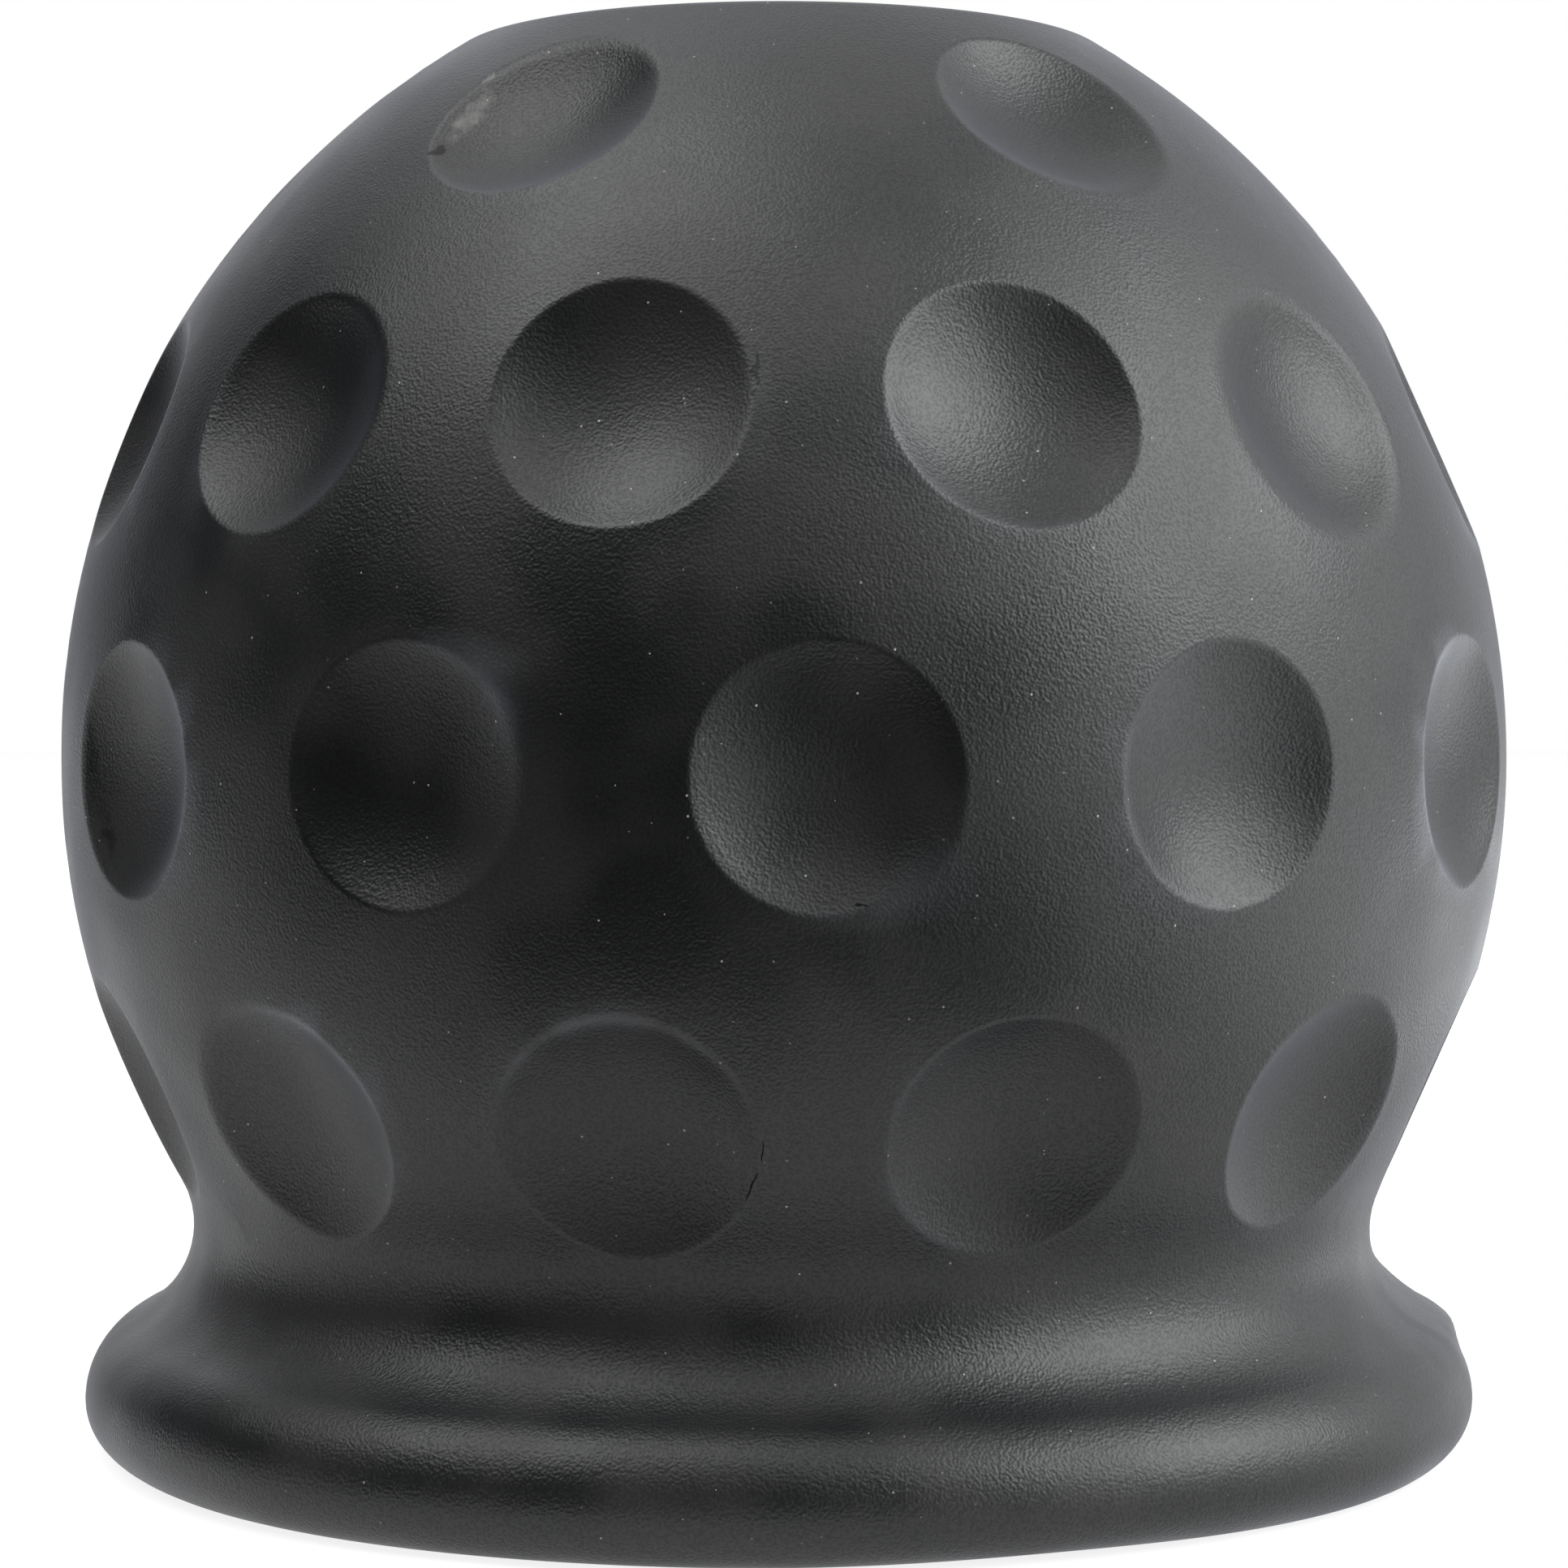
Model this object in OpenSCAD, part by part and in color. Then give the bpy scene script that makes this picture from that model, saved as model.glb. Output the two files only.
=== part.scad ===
// Push-on cover for a tow ball, moulded in one piece from soft black rubber.
// A hollow body, dimpled like a golf ball, has a flat crown on top. Below, it narrows to a
// neck that grips under the tow ball, and flares out again to a thick rolled rim.

/* [Tow ball] */
// Diameter of the tow ball that the cover goes over
ball_d = 50; // [48:0.5:51]
// How much narrower the bore of the neck is than the ball
neck_pinch = 1.6; // [0.4:0.1:3]

/* [Body] */
// Thickness of the wall
wall = 3; // [2:0.1:3.5]
// Largest diameter of the body, at its waist
body_d = 66.3; // [64:0.1:72]
// Height of the waist above the base
waist_h = 31.2; // [29:0.1:36]
// Height of the flat crown above the waist
crown_rise = 32.8; // [31:0.1:34]
// Diameter of the flat crown, up to its rounded corner
crown_d = 28; // [24:0.5:30]
// Radius of the corner around the crown
crown_corner_r = 1.7; // [0.8:0.1:3]

/* [Neck and rim] */
// Height of the narrowest place of the neck above the base
neck_h = 9.9; // [9:0.1:11]
// Radius of the hollow around the outside of the neck
neck_hollow_r = 4.7; // [4:0.1:6]
// Length of the straight bore in the neck
bore_h = 3.5; // [2:0.1:5]
// How far the mouth widens from the bore to the base, on each side
mouth_flare = 3.6; // [2.4:0.1:4.2]
// How far the rim stands out beyond the neck
rim_flare = 4.75; // [4.3:0.05:5.8]
// Height of the widest place of the rim above the base
rim_h = 2.3; // [1.6:0.1:2.8]

/* [Dimples] */
// Diameter of the dimples in the three full rows
dimple_d = 10.8; // [8:0.1:11.5]
// Diameter of the dimples in the row around the crown
crown_dimple_d = 10.4; // [8:0.1:11.5]
// Depth of a dimple below its edge
dimple_depth = 1.3; // [1:0.1:2.6]
// Thickness of the wall behind a dimple
dimple_wall = 2.4; // [1.8:0.1:3]
// Number of dimples in each full row, twice the number around the crown
row_count = 12; // [8:2:12]
// Height of the crown row above the waist
crown_row_rise = 27.8; // [26:0.1:28]
// Height of the upper row above the waist
upper_row_rise = 14.8; // [13:0.1:16]
// Depth of the lower row below the waist
lower_row_drop = 14.5; // [13:0.1:15]

/* [Hidden] */
$fn = 128;
ball_fn = 64;
rubber_colour = "#26282a";

bore_r = (ball_d - neck_pinch) / 2;
neck_r = bore_r + wall;
body_r = body_d / 2;
crown_r = crown_d / 2;
mouth_r = bore_r + mouth_flare;
rim_r = neck_r + rim_flare;
crown_h = waist_h + crown_rise;
inner_crown_h = crown_h - wall;

// Arcs that follow one another run this far into each other, and so cross instead of touching.
bite = 0.01;

function to_micron(size) = round(1000 * size) / 1000;

// The side of the dome is one arc about a point at the waist's height. It is upright at the
// waist and runs into the corner around the crown with no kink.
corner_h = crown_h - crown_corner_r;
dome_arc_r = to_micron(
    (pow(body_r - crown_r, 2) + pow(corner_h - waist_h, 2) - pow(crown_corner_r, 2))
    / (2 * (body_r - crown_r - crown_corner_r)));
dome_x = body_r - dome_arc_r;
corner_turn = atan2(corner_h - waist_h, crown_r - dome_x);
dome_top_h = to_micron(corner_h + crown_corner_r * sin(corner_turn));

// The skirt under the waist is a second such arc, which runs into the hollow of the neck.
hollow_x = neck_r + neck_hollow_r;
skirt_arc_r = to_micron(
    (pow(waist_h - neck_h, 2) + pow(hollow_x - body_r, 2) - pow(neck_hollow_r, 2))
    / (2 * (neck_hollow_r - hollow_x + body_r)));
skirt_x = body_r - skirt_arc_r;
hollow_turn = atan2(waist_h - neck_h, hollow_x - skirt_x);

// The hollow runs on into the rim's rounded upper side, and a smaller curl ends at the base.
rim_arc_r = to_micron(
    (pow(neck_h - rim_h, 2) + pow(hollow_x - rim_r, 2) - pow(neck_hollow_r, 2))
    / (2 * (neck_hollow_r - hollow_x + rim_r)));
rim_x = rim_r - rim_arc_r;
curl_x = rim_r - rim_h;

// The mouth opens from the bore's lower end to the base along one arc.
bore_low = neck_h - bore_h;
mouth_arc_r = to_micron((pow(bore_low, 2) + pow(mouth_r - bore_r, 2)) / (2 * (mouth_r - bore_r)));

// What lies on the axis's right side, between two heights
module band(low, high) {
    translate([0, low]) square([body_d, high - low]);
}

// The slice of a disc between two heights, filled in between its centre and the axis
module slice(centre, r, low, high) {
    intersection() {
        translate(centre) circle(r);
        band(low, high);
    }
    if (centre[0] > 0) translate([0, low]) square([centre[0], high - low]);
}

// The neck down from the waist, beside a round hollow, as far as its lowest point given
module neck_section(arc_r, hollow_r, low_points) {
    turn_h = to_micron(neck_h + hollow_r * sin(hollow_turn));
    difference() {
        union() {
            slice([skirt_x, waist_h], arc_r, neck_h, waist_h);
            polygon(concat(low_points, [[hollow_x, neck_h], [hollow_x, turn_h], [0, turn_h]]));
            children();
        }
        translate([hollow_x, neck_h]) circle(hollow_r + bite);
    }
}

// Half of the outer section, from the base to the crown
module outer_section() {
    slice([dome_x, waist_h], dome_arc_r, waist_h, dome_top_h);
    slice([crown_r, corner_h], crown_corner_r + bite, waist_h, crown_h);
    neck_section(skirt_arc_r, neck_hollow_r, [[0, rim_h], [rim_x, rim_h]])
        slice([rim_x, rim_h], rim_arc_r, rim_h, neck_h);
    slice([curl_x, rim_h], rim_h, 0, rim_h);
}

// Half of the hollow's section. Above the neck it lies one wall inside the outer section.
module inner_section() {
    slice([dome_x, waist_h], dome_arc_r - wall, waist_h, inner_crown_h);
    neck_section(skirt_arc_r - wall, neck_hollow_r + wall, [[0, neck_h]]);
    translate([0, bore_low - wall / 2]) square([bore_r, bore_h + wall]);
    difference() {
        translate([0, -wall]) square([bore_r + mouth_arc_r, bore_low + wall]);
        translate([bore_r + mouth_arc_r, bore_low]) circle(mouth_arc_r + bite);
    }
}

// The balls that press one row of dimples, grown by how far behind the dimple they reach
module row_of_balls(rise, d, count, turn, grow) {
    arc_r = rise < 0 ? skirt_arc_r : dome_arc_r;
    tilt = asin(rise / arc_r);
    edge_r = d / 2;
    press_r = (pow(edge_r, 2) + pow(dimple_depth, 2)) / (2 * dimple_depth);
    out = sqrt(pow(arc_r, 2) - pow(edge_r, 2)) + press_r - dimple_depth;
    for (i = [0 : count - 1]) {
        rotate([0, 0, turn + i * 360 / count - 90])
            translate([body_r - arc_r + out * cos(tilt), 0, waist_h + out * sin(tilt)])
            sphere(press_r + grow, $fn = ball_fn);
    }
}

// All the rows: one dimple of the waist row faces the front, and each row is turned by half
// a step from the next
module all_balls(grow) {
    step = 360 / row_count;
    row_of_balls(crown_row_rise, crown_dimple_d, row_count / 2, step, grow);
    row_of_balls(upper_row_rise, dimple_d, row_count, step / 2, grow);
    row_of_balls(0, dimple_d, row_count, 0, grow);
    row_of_balls(-lower_row_drop, dimple_d, row_count, step / 2, grow);
}

// The cover: each dimple outside stands inside as a low bump
module cover() {
    color(rubber_colour)
    difference() {
        rotate_extrude() outer_section();
        all_balls(0);
        difference() {
            rotate_extrude() inner_section();
            all_balls(dimple_wall);
        }
    }
}

cover();
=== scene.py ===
from math import atan2, asin, cos, pi, radians, sin, sqrt

import bmesh
import bpy
import numpy as np
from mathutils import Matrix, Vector


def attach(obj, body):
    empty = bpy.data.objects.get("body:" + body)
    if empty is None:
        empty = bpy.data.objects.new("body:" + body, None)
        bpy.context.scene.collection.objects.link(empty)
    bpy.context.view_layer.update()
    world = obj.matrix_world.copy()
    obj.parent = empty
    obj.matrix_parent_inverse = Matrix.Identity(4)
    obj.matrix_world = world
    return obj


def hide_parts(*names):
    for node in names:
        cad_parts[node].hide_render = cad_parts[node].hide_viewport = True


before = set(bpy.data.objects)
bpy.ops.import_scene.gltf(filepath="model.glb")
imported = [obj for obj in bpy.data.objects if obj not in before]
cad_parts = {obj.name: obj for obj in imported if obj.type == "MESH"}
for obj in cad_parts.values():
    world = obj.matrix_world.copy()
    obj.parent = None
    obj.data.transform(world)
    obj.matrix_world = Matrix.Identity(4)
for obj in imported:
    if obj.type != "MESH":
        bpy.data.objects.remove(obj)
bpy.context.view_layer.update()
scene = bpy.context.scene
scene.view_settings.view_transform = "Standard"


# Camera. It stands 19 cm from the cover's axis, a little above the waist, and looks slightly
# down, turned by three degrees from the dimple that faces the front.
camera_turn = radians(-2.91)
camera_distance = 0.1865
camera_height = 0.0355
camera_pitch = radians(1.68)

camera = bpy.data.objects.new("camera", bpy.data.cameras.new("camera"))
scene.collection.objects.link(camera)
camera.data.sensor_width = 36
camera.data.lens = 91.9
camera.data.shift_x = 0.0002
camera.location = (
    camera_distance * sin(camera_turn), -camera_distance * cos(camera_turn), camera_height)
camera.rotation_euler = (pi / 2 - camera_pitch, 0, camera_turn)
scene.camera = camera


# Floor. A large sheet of white studio paper, which the cover stands on. The camera and
# reflections see it as nearly white, and the cover's soft shadow stays on it.
floor_side = 3
paper_white = (0.8, 0.8, 0.8, 1)
glow_share = 0.65
glow_strength = 1.3


def seen_share(nodes, links):
    """1 for rays from the camera, in reflections and through glass, and 0 for all others."""
    rays = nodes.new("ShaderNodeLightPath")
    seen = rays.outputs["Is Camera Ray"]
    for kind in ("Is Glossy Ray", "Is Transmission Ray"):
        either = nodes.new("ShaderNodeMath")
        either.operation = "ADD"
        either.use_clamp = True
        links.new(seen, either.inputs[0])
        links.new(rays.outputs[kind], either.inputs[1])
        seen = either.outputs["Value"]
    return seen


half = floor_side / 2
corners = [(-half, -half, 0), (half, -half, 0), (half, half, 0), (-half, half, 0)]
floor_mesh = bpy.data.meshes.new("floor")
floor_mesh.from_pydata(corners, [], [(0, 1, 2, 3)])
floor = bpy.data.objects.new("floor", floor_mesh)
scene.collection.objects.link(floor)

paper = bpy.data.materials.new("paper")
paper.use_nodes = True
nodes, links = paper.node_tree.nodes, paper.node_tree.links
nodes.clear()
share = nodes.new("ShaderNodeMath")
share.operation = "MULTIPLY"
share.inputs[1].default_value = glow_share
links.new(seen_share(nodes, links), share.inputs[0])
matt = nodes.new("ShaderNodeBsdfDiffuse")
matt.inputs["Color"].default_value = paper_white
glow = nodes.new("ShaderNodeEmission")
glow.inputs["Color"].default_value = (1, 1, 1, 1)
glow.inputs["Strength"].default_value = glow_strength
mix = nodes.new("ShaderNodeMixShader")
links.new(share.outputs[0], mix.inputs[0])
links.new(matt.outputs[0], mix.inputs[1])
links.new(glow.outputs[0], mix.inputs[2])
paper_out = nodes.new("ShaderNodeOutputMaterial")
links.new(mix.outputs[0], paper_out.inputs["Surface"])
floor_mesh.materials.append(paper)


# Room. The camera and reflections see a white room, which gives the cover only a weak
# light of its own.
room_light = 0.35
room_seen = 1

world = bpy.data.worlds.new("room")
scene.world = world
world.use_nodes = True
nodes, links = world.node_tree.nodes, world.node_tree.links
nodes.clear()
dim = nodes.new("ShaderNodeBackground")
dim.inputs["Color"].default_value = (1, 1, 1, 1)
dim.inputs["Strength"].default_value = room_light
white = nodes.new("ShaderNodeBackground")
white.inputs["Color"].default_value = (1, 1, 1, 1)
white.inputs["Strength"].default_value = room_seen
mix = nodes.new("ShaderNodeMixShader")
links.new(seen_share(nodes, links), mix.inputs[0])
links.new(dim.outputs[0], mix.inputs[1])
links.new(white.outputs[0], mix.inputs[2])
world_out = nodes.new("ShaderNodeOutputWorld")
links.new(mix.outputs[0], world_out.inputs["Surface"])


# Lamps. Two large softboxes, one at the right and one overhead at the left, and a lit card that
# lies on the floor at the right. Each has its turn to the right of the camera and its rise in
# degrees, its distance, width and height in metres, its brightness and its colour.
cover_middle = Vector((0, 0, 0.03))
card_lift = 0.001

for name, turn, rise, distance, wide, high, bright, colour in [
        ("right_softbox", 72, 32, 1.1, 0.96, 0.84, 6.1, (0.972, 1, 1)),
        ("overhead_softbox", -69, 62, 1.1, 0.84, 0.9, 3.55, (0.985, 1, 0.985)),
        ("floor_light", 85, None, 0.42, 0.7, 0.7, 1.3, (0.97, 1, 1.02))]:
    lamp = bpy.data.objects.new(name, bpy.data.lights.new(name, "AREA"))
    scene.collection.objects.link(lamp)
    lamp.visible_camera = False
    lamp.data.shape = "RECTANGLE"
    lamp.data.size = wide
    lamp.data.size_y = high
    lamp.data.energy = bright * pi * wide * high
    lamp.data.color = colour
    heading = camera_turn + radians(turn)
    ahead = Vector((sin(heading), -cos(heading), 0))
    if rise is None:
        lamp.location = distance * ahead + Vector((0, 0, card_lift))
        lamp.rotation_euler = (pi, 0, heading)
    else:
        away = ahead * cos(radians(rise)) + Vector((0, 0, sin(radians(rise))))
        lamp.location = cover_middle + distance * away
        lamp.rotation_euler = away.to_track_quat("Z", "Y").to_euler()


# Black cards. The dark side of the studio: black curtains round the front and the left, and
# black cards on the floor before the camera. Only reflections show them. Each runs between two
# turns from the camera in degrees, and from an inner, low edge to an outer, high one in metres.
card_steps = 24

black = bpy.data.materials.new("black_card")
black.use_nodes = True
card_surface = black.node_tree.nodes["Principled BSDF"]
card_surface.inputs["Base Color"].default_value = (0.01, 0.01, 0.01, 1)
card_surface.inputs["Roughness"].default_value = 0.9

for name, from_turn, to_turn, inner_r, outer_r, low, high in [
        ("left_curtain", -139, -8, 1.4, 1.4, 0, 2.45),
        ("front_curtain", -8, 41, 1.4, 1.4, 0, 1.01),
        ("front_floor_card", -45, 45, 0.06, 1.4, 0.0005, 0.0005),
        ("left_floor_card", -80, -45, 0.09, 1.4, 0.0005, 0.0005)]:
    corners = []
    for i in range(card_steps + 1):
        heading = camera_turn + radians(from_turn + (to_turn - from_turn) * i / card_steps)
        corners.append((inner_r * sin(heading), -inner_r * cos(heading), low))
        corners.append((outer_r * sin(heading), -outer_r * cos(heading), high))
    card_mesh = bpy.data.meshes.new(name)
    card_faces = [(2 * i, 2 * i + 2, 2 * i + 3, 2 * i + 1) for i in range(card_steps)]
    card_mesh.from_pydata(corners, [], card_faces)
    card_mesh.materials.append(black)
    card = bpy.data.objects.new(name, card_mesh)
    scene.collection.objects.link(card)
    card.visible_camera = False
    card.visible_diffuse = False
    card.visible_shadow = False


# Cover. The real one is a single moulding of soft black rubber, pushed over the tow ball. A
# mould pressed its dimples, whose edges came out soft, and each dimple shows inside as a low
# bump. Sizes are in millimetres, as in the part's source.
wall = 3
body_r = 33.15
waist_h = 31.2
crown_h = 64
crown_r = 14
corner_r = 1.7
neck_h = 9.9
neck_hollow_r = 4.7
bore_r = 24.2
bore_h = 3.5
mouth_r = 27.8
rim_r = 31.95
rim_h = 2.3
dimple_d = 10.8
crown_dimple_d = 10.4
dimple_depth = 1.3
dimple_wall = 2.4
row_count = 12
crown_row_rise = 27.8
upper_row_rise = 14.8
lower_row_drop = 14.5

# The edge's rounding and its reach, as a multiple of it, and how far the edge's wear and painted highlight
# run
soft_edge = 0.1
soft_reach = 1.6
wear_and_highlight_band = 0.08
wear_and_highlight_spread = 0.9

# Points along a side of one dimple's patch, and how deep and finely a patch looks for the side
edge_steps = 16
search_depth = 8
search_steps = 36

hollow_x = bore_r + wall + neck_hollow_r
corner_h = crown_h - corner_r


def joining_arc(rise, across, r):
    """Radius of the arc that is upright at one point and runs smoothly into a circle of radius r.
    The circle's middle lies so far above or below that point, and so far inwards of it. For a
    hollow that second distance is taken outwards, and the radius comes out negative."""
    return (across ** 2 + rise ** 2 - r ** 2) / (2 * (across - r))


dome_arc = joining_arc(corner_h - waist_h, body_r - crown_r, corner_r)
skirt_arc = -joining_arc(waist_h - neck_h, hollow_x - body_r, neck_hollow_r)
rim_arc = -joining_arc(neck_h - rim_h, hollow_x - rim_r, neck_hollow_r)
corner_turn = atan2(corner_h - waist_h, crown_r - body_r + dome_arc)
hollow_turn = atan2(waist_h - neck_h, hollow_x - body_r + skirt_arc)
rim_turn = atan2(neck_h - rim_h, hollow_x - rim_r + rim_arc)
dome_top_h = corner_h + corner_r * sin(corner_turn)

around = edge_steps * row_count
points = []
faces = []
# Share of edge wear and painted highlight at each point
wear_and_highlight = []


def side_r(h, inset):
    """Radius of the undimpled side at height h, or of a surface that lies inset under it."""
    dome = body_r - dome_arc + np.sqrt(np.maximum((dome_arc - inset) ** 2 - (h - waist_h) ** 2, 0))
    skirt = body_r - skirt_arc + np.sqrt(np.maximum((skirt_arc - inset) ** 2 - (h - waist_h) ** 2, 0))
    neck = hollow_x - np.sqrt(np.maximum((neck_hollow_r + inset) ** 2 - (h - neck_h) ** 2, 0))
    turn_h = neck_h + (neck_hollow_r + inset) * sin(hollow_turn)
    return np.where(h >= waist_h, dome, np.where(h >= turn_h, skirt, neck))


def on_side(turn, h, inset):
    """Points of that side at these turns and heights."""
    r = side_r(h, inset)
    return np.stack([r * np.sin(turn), -r * np.cos(turn), h], axis=-1)


def add_rings(rings, closed_at=None, worn=None):
    """Joins rings of equally many points with faces, and the last one with a middle point."""
    first = len(points)
    count = len(rings[0])
    for i, ring in enumerate(rings):
        points.extend(ring.tolist())
        wear_and_highlight.extend(worn[i].tolist() if worn else [0.0] * count)
    for i in range(len(rings) - 1):
        for j in range(count):
            a = first + i * count + j
            b = first + i * count + (j + 1) % count
            faces.append((a, b, b + count, a + count))
    if closed_at is not None:
        points.append(list(closed_at))
        wear_and_highlight.append(0.0)
        last = first + (len(rings) - 1) * count
        for j in range(count):
            faces.append((last + j, last + (j + 1) % count, len(points) - 1))


def dimple(turn, half_turn, rise, edge_d, low_h, high_h, inset, across, up, inner, soft, outer, quirk):
    """One dimple with the patch of the side around it, from low_h to high_h."""
    arc = skirt_arc if rise < 0 else dome_arc
    aside, raised, fade_at, fade_width, fade, wear_and_highlight_at, wear_and_highlight_width, wear_and_highlight_share = quirk
    tilt = asin(rise / arc) + raised / arc
    edge_r = edge_d / 2
    press_r = (edge_r ** 2 + dimple_depth ** 2) / (2 * dimple_depth)
    out = sqrt(arc ** 2 - edge_r ** 2) + press_r - dimple_depth
    ball_r = press_r + (dimple_wall if inset else 0)
    own_turn = turn + aside / (body_r - arc + arc * cos(tilt))
    ahead = np.array([sin(own_turn), -cos(own_turn), 0])
    right = np.array([cos(own_turn), sin(own_turn), 0])
    top = np.array([0, 0, 1])
    axis = ahead * cos(tilt) + top * sin(tilt)
    rising = top * cos(tilt) - ahead * sin(tilt)
    start = ahead * (body_r - arc) + top * waist_h

    # The border runs counter-clockwise from its lower left corner
    s = np.arange(across) / across
    t = np.arange(up) / up
    border_turn = turn + half_turn * np.concatenate([2 * s - 1, np.ones(up), 1 - 2 * s, -np.ones(up)])
    border_h = low_h + (high_h - low_h) * np.concatenate([np.zeros(across), t, np.ones(across), 1 - t])
    border = on_side(border_turn, border_h, inset)

    # Each ring turns evenly from one corner of the border to the next
    angles = []
    corners = [0, across, across + up, 2 * across + up]
    corner_angles = [atan2((border[c] - start) @ rising, (border[c] - start) @ right) for c in corners]
    corner_angles.append(corner_angles[0] + 2 * pi)
    for k, steps in enumerate([across, up, across, up]):
        a, b = corner_angles[k], corner_angles[k + 1]
        while b < a:
            b += 2 * pi
        angles.append(a + (b - a) * np.arange(steps) / steps)
    angles = np.concatenate(angles)

    # The edge is not quite round, and it is softer where the mould's edge was worn
    waver = 0 * angles
    for size, waves, shift in [(0.02, 2, 9 * turn), (0.018, 3, 23 * turn + rise),
                               (0.015, 5, 31 * turn), (0.01, 11, 47 * turn)]:
        waver += size * np.cos(waves * angles + shift)
    away = (angles - radians(fade_at) + pi) % (2 * pi) - pi
    softness = soft_edge + fade * np.exp(-(away / radians(fade_width)) ** 2)
    off_wear_and_highlight = (angles - radians(wear_and_highlight_at) + pi) % (2 * pi) - pi
    wear_and_highlight_by = wear_and_highlight_share * np.exp(-(off_wear_and_highlight / radians(wear_and_highlight_width)) ** 2) * (0 if inset else 1)
    rings = []
    worn = []
    reach = soft_reach * softness
    for r in [(edge_r - reach) * share for share in inner] + [edge_r + reach * share for share in soft]:
        wavy_r = r + waver * np.minimum(r / edge_r, 1) ** 2
        flat = start + np.outer(wavy_r * np.cos(angles), right) + np.outer(wavy_r * np.sin(angles), rising)
        low = np.full(len(angles), arc - inset - search_depth)
        high = np.full(len(angles), arc + 1)
        for _ in range(search_steps):
            middle = (low + high) / 2
            p = flat + np.outer(middle, axis)
            outside = np.hypot(p[:, 0], p[:, 1]) > side_r(p[:, 2], inset)
            high = np.where(outside, middle, high)
            low = np.where(outside, low, middle)
        bowl = out - np.sqrt(np.maximum(ball_r ** 2 - r ** 2, 0))
        near = np.maximum(softness - np.abs(middle - bowl), 0) / softness
        depth = np.minimum(middle, bowl) - near ** 2 * softness / 4
        rings.append(flat + np.outer(depth, axis))
        # The edge's light wear and painted highlight, in a band along it
        spread = reach + wear_and_highlight_band + wear_and_highlight_spread * wear_and_highlight_share ** 2 * (r < edge_r)
        worn.append(wear_and_highlight_by * np.exp(-((r - edge_r) / spread) ** 2))
    middle_point = start + axis * (out - ball_r)

    last = rings[-1]
    last_turn = own_turn + np.arctan2(last @ right, last @ ahead)
    for share in outer:
        rings.append(on_side(last_turn + (border_turn - last_turn) * share,
                             last[:, 2] + (border_h - last[:, 2]) * share, inset))
        worn.append(0 * angles)
    rings.append(border)
    worn.append(0 * angles)
    add_rings(rings[::-1], middle_point, worn[::-1])


def turned(r, h, count):
    """A level ring of so many points."""
    angle = 2 * pi * np.arange(count) / count
    return np.stack([r * np.sin(angle), -r * np.cos(angle), np.full(count, h)], axis=-1)


def arc_rings(x, h, r, start, end, steps, count):
    """Rings along an arc of the section, without its first point."""
    return [turned(x + r * cos(a), h + r * sin(a), count) for a in np.linspace(start, end, steps + 1)[1:]]


# Some dimples differ from the plain one. The values are how far one lies aside of and above its
# place, in millimetres, then the direction, the width and the size of a stretch where its edge
# fades, and last the direction, the width and the share of its edge's light wear and painted highlight.
plain = (0, 0, 0, 40, 0, 200, 70, 0.12)
quirks = {
    ("waist", 0): (0, 0, -42, 26, 0.3, -60, 30, 0.2),
    ("waist", 1): (0, 0, 0, 40, 0, 190, 60, 0.25),
    ("waist", 2): (0, 0.28, 0, 40, 0, 180, 80, 1),
    ("waist", 10): (0, -0.1, 180, 60, 0.1, 0, 70, 0.5),
    ("waist", 11): (-0.08, 0, 0, 45, 0.22, 48, 28, 0.45),
    ("upper", 0): (0, 0, 0, 40, 0, 230, 60, 0.2),
    ("upper", 1): (-0.08, 0.1, 210, 150, 0.5, 20, 40, 0.12),
    ("upper", 2): (0, 0, 0, 40, 0, 200, 90, 0.8),
    ("upper", 9): (0, 0, 0, 40, 0, 0, 90, 0.55),
    ("upper", 10): (-0.35, 0.05, 20, 60, 0.2, 210, 50, 0.2),
    ("upper", 11): (-0.1, 0.05, 0, 30, 0.05, 0, 30, 0.15),
    ("lower", 1): (0, 0, 120, 50, 0.15, -20, 60, 0.2),
    ("lower", 2): (0, 0, 0, 40, 0, 180, 90, 0.5),
    ("lower", 9): (0, 0, 0, 40, 0, 0, 90, 0.7),
    ("lower", 10): (-0.25, -0.22, 140, 70, 0.25, 40, 50, 0.65),
    ("lower", 11): (0.04, -0.05, 90, 60, 0.15, 110, 50, 0.25),
    ("crown", 0): (0, 0.06, -60, 80, 0.35, 250, 50, 0.08),
    ("crown", 5): (-0.3, -0.3, 100, 60, 0.25, 270, 60, 0.12)}

# Heights of the borders between the rows, the upper ones from the turn of the side's arcs
lower_border_h = 10.4
border_low_h = waist_h - skirt_arc * sin(radians(11.5))
border_high_h = waist_h + dome_arc * sin(radians(11.4))
border_crown_h = waist_h + dome_arc * sin(radians(34.6))

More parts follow.
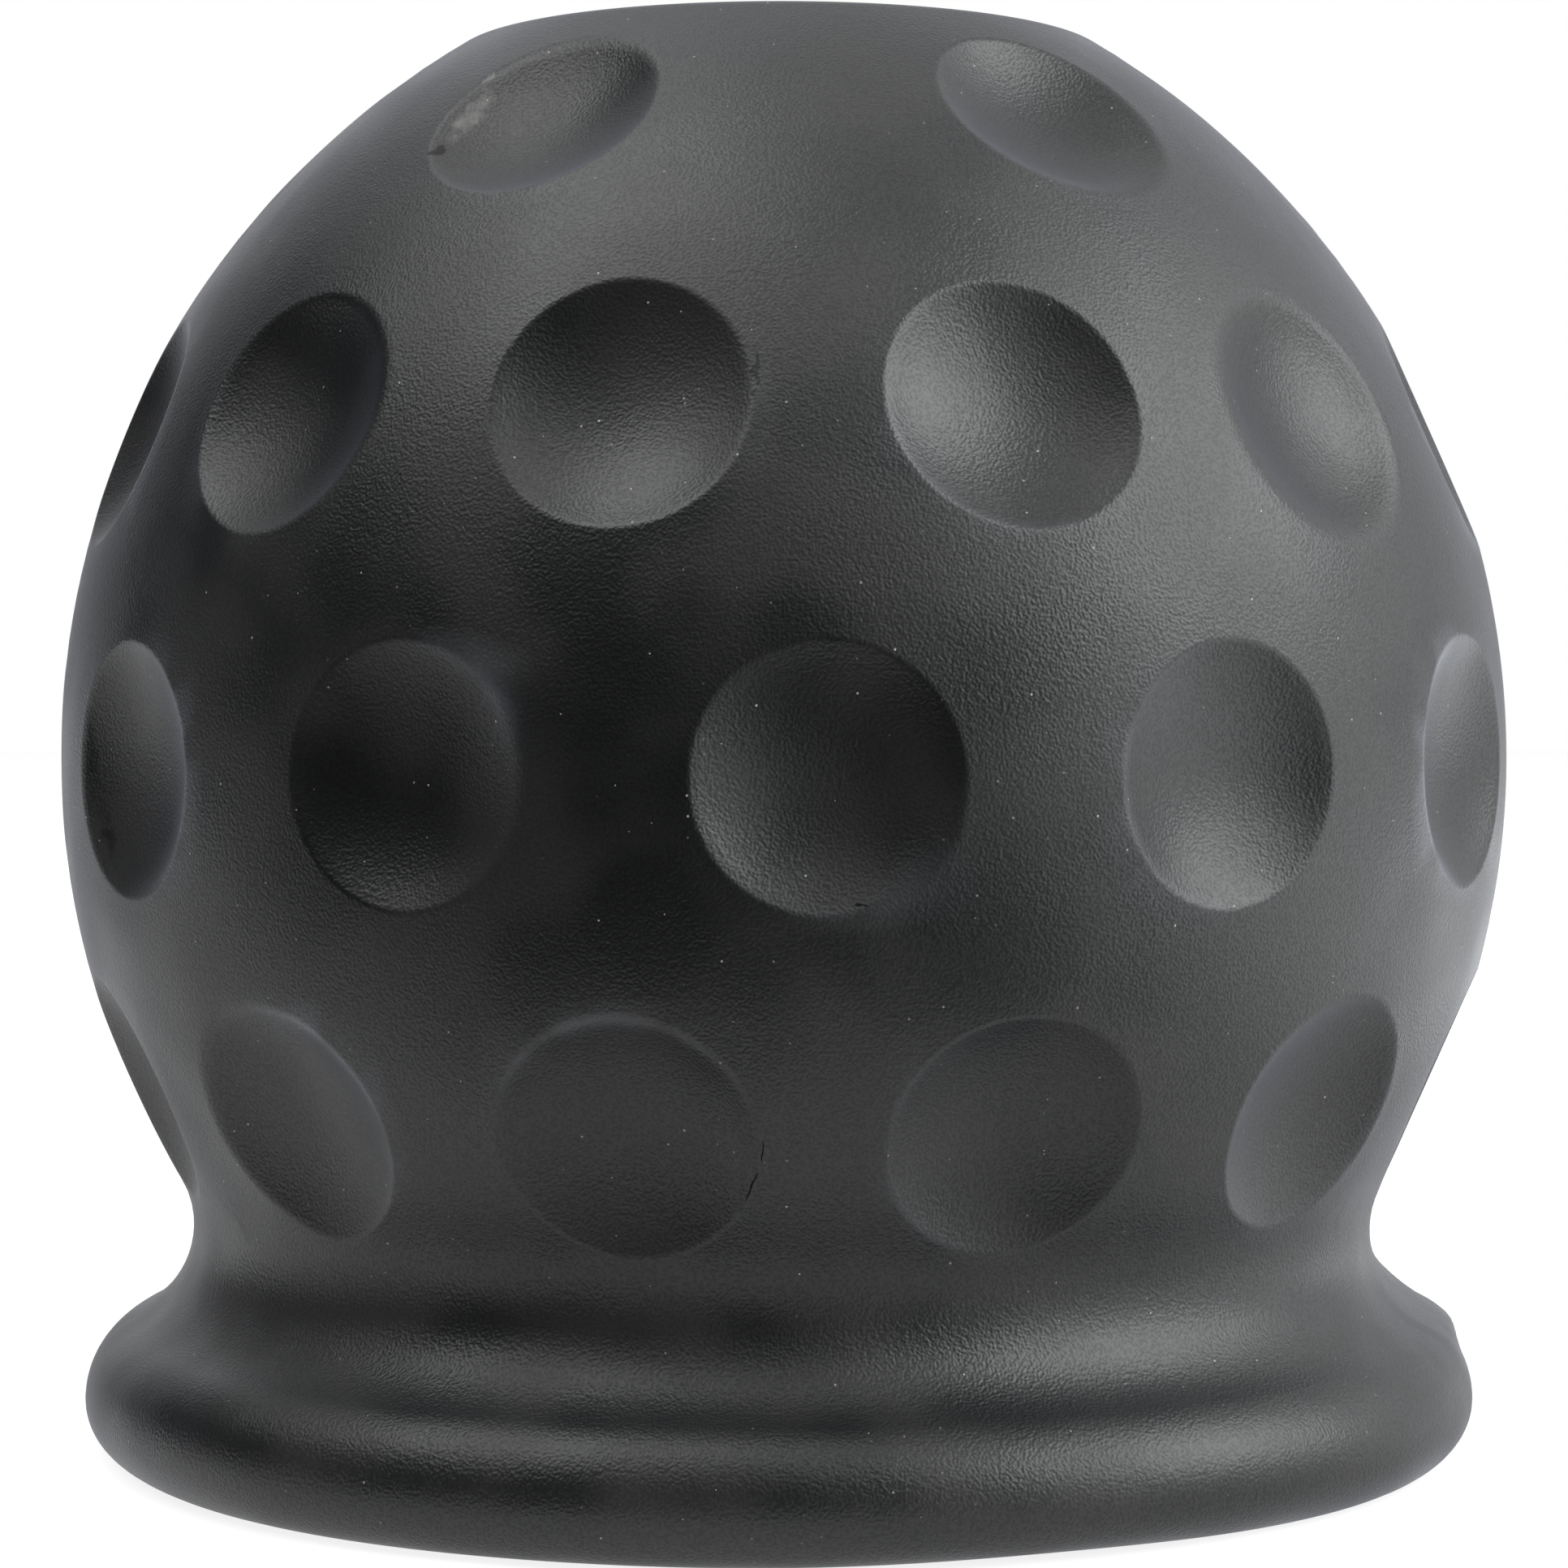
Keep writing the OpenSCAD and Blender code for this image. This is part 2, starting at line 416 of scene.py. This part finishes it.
# Rows of dimples, outside and then inside, where the rings are coarser. The rings' shares are
# those inside the edge, those over its rounding and those between it and the border.
for inset, detail, inner, soft, outer in [
        (0, 1, [0.11, 0.24, 0.37, 0.5, 0.62, 0.74, 0.84, 0.93],
         [-1, -0.75, -0.5, -0.25, 0, 0.25, 0.5, 0.75, 1], [0.33, 0.67]),
        (wall, 2, [0.22, 0.48, 0.72, 0.88], [-1, -0.33, 0.33, 1], [0.5])]:
    shrink = (dome_arc - inset) / dome_arc
    row_low_h = waist_h + (border_low_h - waist_h) * shrink
    row_high_h = waist_h + (border_high_h - waist_h) * shrink
    row_crown_h = waist_h + (border_crown_h - waist_h) * shrink
    row_top_h = crown_h - wall if inset else dome_top_h
    for row, count, first_step, rise, edge_d, low_h, high_h in [
            ("waist", row_count, 0, 0, dimple_d, row_low_h, row_high_h),
            ("lower", row_count, 0.5, -lower_row_drop, dimple_d, lower_border_h, row_low_h),
            ("upper", row_count, 0.5, upper_row_rise, dimple_d, row_high_h, row_crown_h),
            ("crown", row_count // 2, 0.5, crown_row_rise, crown_dimple_d, row_crown_h, row_top_h)]:
        step = 2 * pi / count
        for k in range(count):
            dimple((k + first_step) * step, step / 2, rise, edge_d, low_h, high_h, inset,
                   around // count // detail, edge_steps // detail, inner, soft, outer,
                   quirks.get((row, k), plain))

# Crown, from the dome's top round its corner to the middle
flat_rings = (10, 5)
crown = [turned(float(side_r(dome_top_h, 0)), dome_top_h, around)]
crown += arc_rings(crown_r, corner_h, corner_r, corner_turn, pi / 2, 8, around)
crown += [turned(r, crown_h, around) for r in flat_rings]
add_rings(crown, (0, 0, crown_h))

# Hollow of the neck, rim, base and the mouth's first ring, with a small rounding at its lip
lip_out = 0.35
lip_in = 0.1
lip_h = 0.04
border_turn = pi - asin((lower_border_h - neck_h) / neck_hollow_r)
rim = [turned(float(side_r(lower_border_h, 0)), lower_border_h, around)]
rim += arc_rings(hollow_x, neck_h, neck_hollow_r, border_turn, pi + rim_turn, 12, around)
rim += arc_rings(rim_r - rim_arc, rim_h, rim_arc, rim_turn, 0, 20, around)
rim += arc_rings(rim_r - rim_h, rim_h, rim_h, 0, -pi / 2, 12, around)
bore_low_h = neck_h - bore_h
mouth_arc = (bore_low_h ** 2 + (mouth_r - bore_r) ** 2) / (2 * (mouth_r - bore_r))
mouth_start = pi + asin(bore_low_h / mouth_arc)
mouth_x = bore_r + mouth_arc
rim += [turned(mouth_r + lip_out, 0, around), turned(mouth_r + lip_in, lip_h, around)]
rim += arc_rings(mouth_x, bore_low_h, mouth_arc, mouth_start, mouth_start - 0.06, 1, around)
add_rings(rim)

# Between the rim's rings and the coarser ones of the inside
first = len(points)
half_count = around // 2
coarse_turn = mouth_start - 0.16
coarse = arc_rings(mouth_x, bore_low_h, mouth_arc, mouth_start, coarse_turn, 1, half_count)[0]
points.extend(rim[-1].tolist())
points.extend(coarse.tolist())
wear_and_highlight.extend([0.0] * (around + half_count))
for k in range(half_count):
    a, b, c = first + 2 * k, first + 2 * k + 1, first + (2 * k + 2) % around
    p, q = first + around + k, first + around + (k + 1) % half_count
    faces.extend([(a, b, p), (b, q, p), (b, c, q)])

# Mouth, bore and the inside of the neck, and the ceiling under the crown
bore_end = 1.2
inside = [coarse]
inside += arc_rings(mouth_x, bore_low_h, mouth_arc, coarse_turn, pi, 8, half_count)
inside += [turned(bore_r, h, half_count) for h in (bore_low_h + bore_end, neck_h - bore_end, neck_h)]
inside.append(turned(float(side_r(lower_border_h, wall)), lower_border_h, half_count))
add_rings(inside)
ceiling_h = crown_h - wall
ceiling_r = float(side_r(ceiling_h, wall))
ceiling = [turned(r, ceiling_h, half_count) for r in (ceiling_r, *flat_rings)]
add_rings(ceiling, (0, 0, ceiling_h))

# The soft moulding is a little out of true. It leans to the left at the rim and the dome, and
# the rim has two bulges and a fold at its right, and lifts off the ground in one place. Each of
# these has its size in millimetres, and its turn and width in degrees.
rim_lean = 0.2
dome_lean = 0.17
bulges = [(0.45, -48, 24), (0.25, 52, 16)]
fold = (0.8, 92, 10)
lift = (0.18, 19, 15)

# A painted highlight lies on the rim's flank at both sides, in place of a lamp's reflection, as a share, a
# turn and a width
flank_highlights = [(0.35, 88, 24), (0.2975, -88, 26)]


def eased(value, start, end):
    """Rises smoothly from 0 at the start to 1 at the end."""
    share = np.clip((value - start) / (end - start), 0, 1)
    return share * share * (3 - 2 * share)


def swelling(size, centre, width):
    """A size that fades out on both sides of one turn."""
    away = (turn_of - centre + 180) % 360 - 180
    return size * np.exp(-(away / width) ** 2)


shape = np.array(points)
turn_of = np.degrees(np.arctan2(shape[:, 0], -shape[:, 1]))
h_of = shape[:, 2].copy()
r_of = np.hypot(shape[:, 0], shape[:, 1])
outer_skin = r_of > bore_r + wall - 0.5
swell = swelling(*fold) * eased(h_of, 9, 6) * eased(h_of, 3.9, 5.1) * outer_skin
for bulge in bulges:
    swell += swelling(*bulge) * eased(h_of, 9, 4)
shape[:, :2] *= (1 + swell / np.maximum(r_of, 1))[:, None]
shape[:, 0] -= rim_lean * eased(h_of, 14, 5) + dome_lean * eased(h_of, 40, 52)
shape[:, 2] += swelling(*lift) * eased(h_of, 7, 1)
# The painted highlight on the flanks joins the edges' wear and painted highlight
for flank_highlight in flank_highlights:
    on_flank = eased(h_of, 9.5, 7) * eased(h_of, 2.8, 5.6) * outer_skin
    wear_and_highlight = np.maximum(wear_and_highlight, swelling(*flank_highlight) * on_flank)

cover_mesh = bpy.data.meshes.new("cover")
cover_mesh.from_pydata((shape / 1000).tolist(), [], faces)
cover_mesh.attributes.new("wear_and_highlight", "FLOAT", "POINT").data.foreach_set("value", wear_and_highlight)
bm = bmesh.new()
bm.from_mesh(cover_mesh)
bmesh.ops.remove_doubles(bm, verts=bm.verts, dist=2e-6)
bmesh.ops.recalc_face_normals(bm, faces=bm.faces)
bm.to_mesh(cover_mesh)
bm.free()
cover_mesh.polygons.foreach_set("use_smooth", [True] * len(cover_mesh.polygons))
cover = bpy.data.objects.new("dimpled_cover", cover_mesh)
scene.collection.objects.link(cover)

dark_rubber = (0.002, 0.0022, 0.0025, 1)
light_rubber = (0.008, 0.0078, 0.0075, 1)
dust = (0.35, 0.34, 0.32, 1)
# Pale bluish colour of the edges' wear and of the painted highlights on the edges and the rim's flanks
pale_wear_and_highlight = (0.098, 0.102, 0.12, 1)
# Near black of the cracks and nicks, and of the painted shade in the far-left dimple
crack_and_shade_rubber = (0.001, 0.001, 0.001, 1)
scuffed_rubber = (0.13, 0.132, 0.125, 1)

rubber = bpy.data.materials.new("matt_rubber")
rubber.use_nodes = True
nodes, links = rubber.node_tree.nodes, rubber.node_tree.links
nodes.clear()
place = nodes.new("ShaderNodeTexCoord")


def noise(scale, detail):
    """Value of a noise pattern with this many cells to the metre."""
    pattern = nodes.new("ShaderNodeTexNoise")
    pattern.inputs["Scale"].default_value = scale
    pattern.inputs["Detail"].default_value = detail
    links.new(place.outputs["Object"], pattern.inputs["Vector"])
    return pattern.outputs["Fac"]


def mapped(value, from_low, from_high, to_low, to_high):
    """The value, moved from one range to another and kept in it."""
    ranged = nodes.new("ShaderNodeMapRange")
    ranged.interpolation_type = "SMOOTHSTEP"
    ranged.inputs["From Min"].default_value = from_low
    ranged.inputs["From Max"].default_value = from_high
    ranged.inputs["To Min"].default_value = to_low
    ranged.inputs["To Max"].default_value = to_high
    links.new(value, ranged.inputs["Value"])
    return ranged.outputs["Result"]


def worked(operation, first, second):
    """A sum, product or the like of two values."""
    step_node = nodes.new("ShaderNodeMath")
    step_node.operation = operation
    links.new(first, step_node.inputs[0])
    if isinstance(second, (int, float)):
        step_node.inputs[1].default_value = second
    else:
        links.new(second, step_node.inputs[1])
    return step_node.outputs["Value"]


def painted(share, under, over):
    """A colour laid over another by a share."""
    layer = nodes.new("ShaderNodeMix")
    layer.data_type = "RGBA"
    for socket, colour in (("A", under), ("B", over)):
        if isinstance(colour, tuple):
            layer.inputs[socket].default_value = colour
        else:
            links.new(colour, layer.inputs[socket])
    links.new(share, layer.inputs["Factor"])
    return layer.outputs["Result"]


# Cloudy patches vary the tone and the roughness, and smaller worn ones the grain's strength
cloud = noise(170, 1)
worn = noise(420, 0)
tone = painted(mapped(cloud, 0.35, 0.65, 0, 1), dark_rubber, light_rubber)

# Specks of dust, each in the middle of a cell
specks = nodes.new("ShaderNodeTexVoronoi")
specks.inputs["Scale"].default_value = 1500
links.new(place.outputs["Object"], specks.inputs["Vector"])
speck_kind = nodes.new("ShaderNodeSeparateColor")
links.new(specks.outputs["Color"], speck_kind.inputs["Color"])
speck_size = mapped(speck_kind.outputs["Red"], 0.2, 1, 0, 0.075)
speck = worked("LESS_THAN", specks.outputs["Distance"], speck_size)
speck = worked("MULTIPLY", speck, mapped(speck_kind.outputs["Green"], 0, 1, 0.15, 0.8))
tone = painted(speck, tone, dust)

# Light wear and painted highlights along some of the dimples' edges, and the painted highlight on the
# rim's flanks, broken up by the worn patches
wear_and_highlight_mark = nodes.new("ShaderNodeAttribute")
wear_and_highlight_mark.attribute_name = "wear_and_highlight"
edge_wear_and_highlight = worked("MULTIPLY", wear_and_highlight_mark.outputs["Fac"], mapped(worn, 0.35, 0.6, 0.25, 1))
tone = painted(worked("MULTIPLY", edge_wear_and_highlight, 0.9), tone, pale_wear_and_highlight)

# Single marks, each from one point to another in millimetres, with its half width and how
# ragged it is. A wide mark fades out softly. Dark ones are a hairline crack at a lower dimple's
# edge, a frayed edge of an upper dimple, a nick at the front dimple, two patches of painted shade
# in the dimple at the far left, and the dark end of a scuff. Light ones are that scuff, on the left
# dimple of the crown, its torn end, and a chip at the far left.
wide_mark = 0.4
stir = nodes.new("ShaderNodeTexNoise")
stir.inputs["Scale"].default_value = 2200
stir.inputs["Detail"].default_value = 0
links.new(place.outputs["Object"], stir.inputs["Vector"])
darkened = None
lightened = None
for dark, share, start, end, half_wide, ragged in [
        (True, 1, (-2.33, -30.23, 17.2), (-2.37, -29.68, 15.85), 0.04, 0.1),
        (True, 1, (-2.38, -29.7, 15.95), (-3.1, -28.7, 14.15), 0.05, 0.1),
        (True, 0.45, (-2.62, -28.9, 48.5), (-2.6, -30.2, 45.5), 0.16, 0.5),
        (True, 0.8, (0.9, -32.54, 26.4), (1.7, -32.65, 26.3), 0.09, 0.25),
        # Two patches of painted shade inside the dimple at the far left
        (True, 0.55, (-30.62, -12.36, 34.8), (-30.6, -12.16, 29.0), 0.6, 0.5),
        (True, 0.55, (-30.5, -12.2, 30.2), (-29.0, -14.4, 26.5), 0.55, 0.6),
        (True, 0.6, (-15.6, -17.2, 56.9), (-15.2, -16.5, 57.4), 0.3, 0.5),
        (False, 0.75, (-15.4, -16.7, 57.3), (-12.9, -14.2, 60.4), 0.75, 0.7),
        (False, 0.5, (-13.8, -14.4, 60.4), (-12.8, -13.6, 60.9), 0.18, 0.5),
        (False, 0.5, (-30.2, -10.4, 22.0), (-30.2, -9.7, 20.8), 0.16, 0.2)]:
    middle = (Vector(start) + Vector(end)) / 2
    along = Vector(end) - Vector(start)
    stirred = nodes.new("ShaderNodeVectorMath")
    stirred.operation = "MULTIPLY_ADD"
    stirred.inputs[1].default_value = [ragged / 1000] * 3
    links.new(stir.outputs["Color"], stirred.inputs[0])
    links.new(place.outputs["Object"], stirred.inputs[2])
    local = nodes.new("ShaderNodeMapping")
    local.vector_type = "TEXTURE"
    local.inputs["Location"].default_value = (middle + Vector([ragged / 2] * 3)) / 1000
    local.inputs["Rotation"].default_value = along.to_track_quat("X", "Z").to_euler()
    local.inputs["Scale"].default_value = (along.length / 2000, half_wide / 1000, half_wide / 1000)
    links.new(stirred.outputs["Vector"], local.inputs["Vector"])
    distance_off = nodes.new("ShaderNodeVectorMath")
    distance_off.operation = "LENGTH"
    links.new(local.outputs["Vector"], distance_off.inputs[0])
    full_until = 0.1 if half_wide > wide_mark else 0.55
    mark = mapped(distance_off.outputs["Value"], full_until, 1, share, 0)
    if dark:
        darkened = worked("MAXIMUM", mark, darkened) if darkened else mark
    else:
        lightened = worked("MAXIMUM", mark, lightened) if lightened else mark
# Cracks, nicks and the painted shade in the far-left dimple darken the tone
tone = painted(darkened, tone, crack_and_shade_rubber)
tone = painted(lightened, tone, scuffed_rubber)

grain = noise(7800, 0)
bump = nodes.new("ShaderNodeBump")
links.new(mapped(worn, 0.3, 0.7, 0.75, 1), bump.inputs["Strength"])
bump.inputs["Distance"].default_value = 0.000026
links.new(grain, bump.inputs["Height"])

skin = nodes.new("ShaderNodeBsdfPrincipled")
skin.inputs["Sheen Weight"].default_value = 0.1
skin.inputs["Sheen Roughness"].default_value = 0.35
skin.inputs["Sheen Tint"].default_value = (0.62, 0.7, 1, 1)
links.new(tone, skin.inputs["Base Color"])
links.new(mapped(cloud, 0.3, 0.7, 0.41, 0.5), skin.inputs["Roughness"])
gloss = worked("MULTIPLY", mapped(grain, 0.3, 0.65, 0.42, 0.54), mapped(darkened, 0, 1, 1, 0.1))
links.new(gloss, skin.inputs["Specular IOR Level"])
links.new(bump.outputs["Normal"], skin.inputs["Normal"])
rubber_out = nodes.new("ShaderNodeOutputMaterial")
links.new(skin.outputs["BSDF"], rubber_out.inputs["Surface"])
cover_mesh.materials.append(rubber)

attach(cover, "root")
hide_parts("cover")
